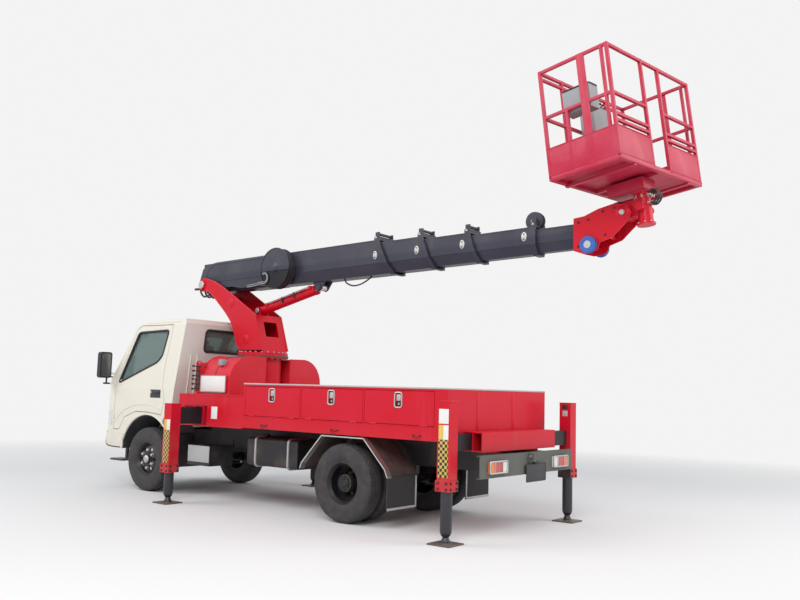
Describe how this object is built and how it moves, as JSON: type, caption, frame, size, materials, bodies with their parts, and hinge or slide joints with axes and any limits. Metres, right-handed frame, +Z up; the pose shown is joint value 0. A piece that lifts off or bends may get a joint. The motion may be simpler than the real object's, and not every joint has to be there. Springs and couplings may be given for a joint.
{
  "type": "cherry picker truck",
  "caption": "Cab-over light truck with a slewing telescopic boom, a levelled work cage, side lockers and extending outriggers on their feet.",
  "frame": {"origin": "on the ground, under the middle of the whole truck with its boom stowed", "axes": "+X forward to the cab, +Y to the left, +Z up"},
  "size_m": [7.4521, 2.78, 4.4193],
  "materials": {
    "red_paint": "gloss",
    "cream_paint": "gloss",
    "glass": "clear",
    "interior": "matt",
    "grey_paint": "satin",
    "dark_paint": "satin",
    "bright_steel": "brushed",
    "cage_paint": "satin",
    "rim_paint": "satin",
    "tyre": "matt",
    "roller": "satin",
    "lamp": "gloss"
  },
  "bodies": {
    "root": {"chassis_frame": "dark_paint", "engine_block": "dark_paint", "front_axle": "dark_paint", "rear_axle": "dark_paint", "side_tanks": "dark_paint", "cab_shell": "cream_paint", "cab_glass": "glass", "front_trim": "dark_paint", "lamps": "lamp", "mirrors": "dark_paint", "cab_interior": "interior", "bed_body": "red_paint", "turret_platform": "red_paint", "rear_outrigger_housing": "red_paint", "fenders": "bright_steel", "rear_bumper": "dark_paint", "turret_column": "red_paint", "machinery_hoods": "red_paint"},
    "knuckle_l": {"knuckle_left": "dark_paint"},
    "knuckle_r": {"knuckle_right": "dark_paint"},
    "wheel_front_l": {"front_tyre_left": "tyre", "front_rim_left": "rim_paint"},
    "wheel_front_r": {"front_tyre_right": "tyre", "front_rim_right": "rim_paint"},
    "wheel_rear_l": {"rear_tyres_left": "tyre", "rear_rims_left": "rim_paint"},
    "wheel_rear_r": {"rear_tyres_right": "tyre", "rear_rims_right": "rim_paint"},
    "steering_rod": {"track_rod": "dark_paint"},
    "door_l": {"cab_door_left": "cream_paint"},
    "door_r": {"cab_door_right": "cream_paint"},
    "locker_left_1": {"locker_door_left_1": "red_paint"},
    "locker_left_2": {"locker_door_left_2": "red_paint"},
    "locker_left_3": {"locker_door_left_3": "red_paint"},
    "beam_front_left": {"outrigger_beam_front_left": "red_paint"},
    "leg_front_left": {"outrigger_leg_front_left": "dark_paint"},
    "beam_rear_left": {"outrigger_beam_rear_left": "red_paint"},
    "leg_rear_left": {"outrigger_leg_rear_left": "dark_paint"},
    "locker_right_1": {"locker_door_right_1": "red_paint"},
    "locker_right_2": {"locker_door_right_2": "red_paint"},
    "locker_right_3": {"locker_door_right_3": "red_paint"},
    "beam_front_right": {"outrigger_beam_front_right": "red_paint"},
    "leg_front_right": {"outrigger_leg_front_right": "dark_paint"},
    "beam_rear_right": {"outrigger_beam_rear_right": "red_paint"},
    "leg_rear_right": {"outrigger_leg_rear_right": "dark_paint"},
    "turret": {"turret_pedestal": "red_paint"},
    "boom_1": {"boom_section_1": "grey_paint", "boom_tail_cover": "grey_paint"},
    "boom_2": {"boom_section_2": "grey_paint"},
    "boom_3": {"boom_section_3": "grey_paint"},
    "boom_4": {"boom_section_4": "grey_paint"},
    "boom_5": {"boom_section_5": "grey_paint", "boom_head": "red_paint", "head_rollers": "roller"},
    "barrel": {"lift_barrel": "red_paint"},
    "rod": {"lift_rod": "bright_steel"},
    "bracket": {"cage_bracket": "red_paint"},
    "cage": {"cage_frame": "cage_paint", "cage_controls": "interior"}
  },
  "joints": [
    {"name": "steer_left", "type": "hinge", "parent": "root", "child": "knuckle_l", "pos_m": [2.767, 0.6, 0.396], "axis": [0, 0, 1], "range_deg": [-32, 32]},
    {"name": "spin_front_left", "type": "hinge", "parent": "knuckle_l", "child": "wheel_front_l", "pos_m": [2.767, 0.738, 0.396], "axis": [0, 1, 0], "continuous": true},
    {"name": "spin_rear_left", "type": "hinge", "parent": "root", "child": "wheel_rear_l", "pos_m": [-0.618, 0.677, 0.396], "axis": [0, 1, 0], "continuous": true},
    {"name": "steer_right", "type": "hinge", "parent": "root", "child": "knuckle_r", "pos_m": [2.767, -0.6, 0.396], "axis": [0, 0, 1], "range_deg": [-32, 32]},
    {"name": "spin_front_right", "type": "hinge", "parent": "knuckle_r", "child": "wheel_front_r", "pos_m": [2.767, -0.738, 0.396], "axis": [0, 1, 0], "continuous": true},
    {"name": "spin_rear_right", "type": "hinge", "parent": "root", "child": "wheel_rear_r", "pos_m": [-0.618, -0.677, 0.396], "axis": [0, 1, 0], "continuous": true},
    {"name": "track_rod_slide", "type": "slide", "parent": "root", "child": "steering_rod", "axis": [0, 1, 0], "range_m": [-0.083, 0.083]},
    {"name": "cab_door_left_swing", "type": "hinge", "parent": "root", "child": "door_l", "pos_m": [3.491, 0.858, 1.2], "axis": [0, 0, -1], "range_deg": [0, 65]},
    {"name": "locker_left_1_drop", "type": "hinge", "parent": "root", "child": "locker_left_1", "pos_m": [0.422, 0.914, 1.016], "axis": [-1, 0, 0], "range_deg": [0, 90]},
    {"name": "locker_left_2_drop", "type": "hinge", "parent": "root", "child": "locker_left_2", "pos_m": [-0.458, 0.914, 1.016], "axis": [-1, 0, 0], "range_deg": [0, 90]},
    {"name": "locker_left_3_drop", "type": "hinge", "parent": "root", "child": "locker_left_3", "pos_m": [-1.338, 0.914, 1.016], "axis": [-1, 0, 0], "range_deg": [0, 90]},
    {"name": "cab_door_right_swing", "type": "hinge", "parent": "root", "child": "door_r", "pos_m": [3.491, -0.858, 1.2], "axis": [0, 0, 1], "range_deg": [0, 65]},
    {"name": "locker_right_1_drop", "type": "hinge", "parent": "root", "child": "locker_right_1", "pos_m": [0.422, -0.914, 1.016], "axis": [1, 0, 0], "range_deg": [0, 90]},
    {"name": "locker_right_2_drop", "type": "hinge", "parent": "root", "child": "locker_right_2", "pos_m": [-0.458, -0.914, 1.016], "axis": [1, 0, 0], "range_deg": [0, 90]},
    {"name": "locker_right_3_drop", "type": "hinge", "parent": "root", "child": "locker_right_3", "pos_m": [-1.338, -0.914, 1.016], "axis": [1, 0, 0], "range_deg": [0, 90]},
    {"name": "beam_front_left_slide", "type": "slide", "parent": "root", "child": "beam_front_left", "axis": [0, 1, 0], "range_m": [-0.28, 0.35]},
    {"name": "beam_rear_left_slide", "type": "slide", "parent": "root", "child": "beam_rear_left", "axis": [0, 1, 0], "range_m": [-0.24, 0.2]},
    {"name": "leg_front_left_slide", "type": "slide", "parent": "beam_front_left", "child": "leg_front_left", "axis": [0, 0, -1], "range_m": [-0.3, 0]},
    {"name": "leg_rear_left_slide", "type": "slide", "parent": "beam_rear_left", "child": "leg_rear_left", "axis": [0, 0, -1], "range_m": [-0.36, 0]},
    {"name": "beam_front_right_slide", "type": "slide", "parent": "root", "child": "beam_front_right", "axis": [0, -1, 0], "range_m": [-0.28, 0.35]},
    {"name": "beam_rear_right_slide", "type": "slide", "parent": "root", "child": "beam_rear_right", "axis": [0, -1, 0], "range_m": [-0.24, 0.2]},
    {"name": "leg_front_right_slide", "type": "slide", "parent": "beam_front_right", "child": "leg_front_right", "axis": [0, 0, -1], "range_m": [-0.3, 0]},
    {"name": "leg_rear_right_slide", "type": "slide", "parent": "beam_rear_right", "child": "leg_rear_right", "axis": [0, 0, -1], "range_m": [-0.36, 0]},
    {"name": "slew", "type": "hinge", "parent": "root", "child": "turret", "pos_m": [1.602, 0, 1.7], "axis": [0, 0, 1], "continuous": true},
    {"name": "boom_lift", "type": "hinge", "parent": "turret", "child": "boom_1", "pos_m": [2.602, 0, 2.668], "axis": [0, 1, 0], "range_deg": [-1.5, 50]},
    {"name": "telescope_2", "type": "slide", "parent": "boom_1", "child": "boom_2", "axis": [-0.9997, 0, 0.0227], "range_m": [-0.36, 1.6]},
    {"name": "telescope_3", "type": "slide", "parent": "boom_2", "child": "boom_3", "axis": [-0.9997, 0, 0.0227], "range_m": [-0.36, 1.6]},
    {"name": "telescope_4", "type": "slide", "parent": "boom_3", "child": "boom_4", "axis": [-0.9997, 0, 0.0227], "range_m": [-0.36, 1.6]},
    {"name": "telescope_5", "type": "slide", "parent": "boom_4", "child": "boom_5", "axis": [-0.9997, 0, 0.0227], "range_m": [-0.36, 1.6]},
    {"name": "lift_barrel_pivot", "type": "hinge", "parent": "turret", "child": "barrel", "pos_m": [1.657, 0, 2.3], "axis": [0, 1, 0], "range_deg": [-2.2, 63.6]},
    {"name": "lift_rod_slide", "type": "slide", "parent": "barrel", "child": "rod", "axis": [-0.9732, 0, 0.2299], "range_m": [-0.026, 0.792]},
    {"name": "cage_level", "type": "hinge", "parent": "boom_5", "child": "bracket", "pos_m": [-3.259, 0, 3.019], "axis": [0, 1, 0], "range_deg": [-50.2, 1.7]},
    {"name": "cage_turn", "type": "hinge", "parent": "bracket", "child": "cage", "pos_m": [-3.389, 0, 3.3245], "axis": [0.1271, 0, 0.9919], "range_deg": [-80, 80]}
  ],
  "couplings": [
    {"joint": "steer_right", "follows": "steer_left", "ratio": 1},
    {"joint": "track_rod_slide", "follows": "steer_left", "m_per_rad": -0.142},
    {"joint": "telescope_3", "follows": "telescope_2", "ratio": 1},
    {"joint": "telescope_4", "follows": "telescope_2", "ratio": 1},
    {"joint": "telescope_5", "follows": "telescope_2", "ratio": 1},
    {"joint": "lift_barrel_pivot", "follows": "boom_lift", "ratio": 1.2686},
    {"joint": "lift_rod_slide", "follows": "boom_lift", "m_per_rad": 0.9056},
    {"joint": "cage_level", "follows": "boom_lift", "ratio": -1}
  ]
}
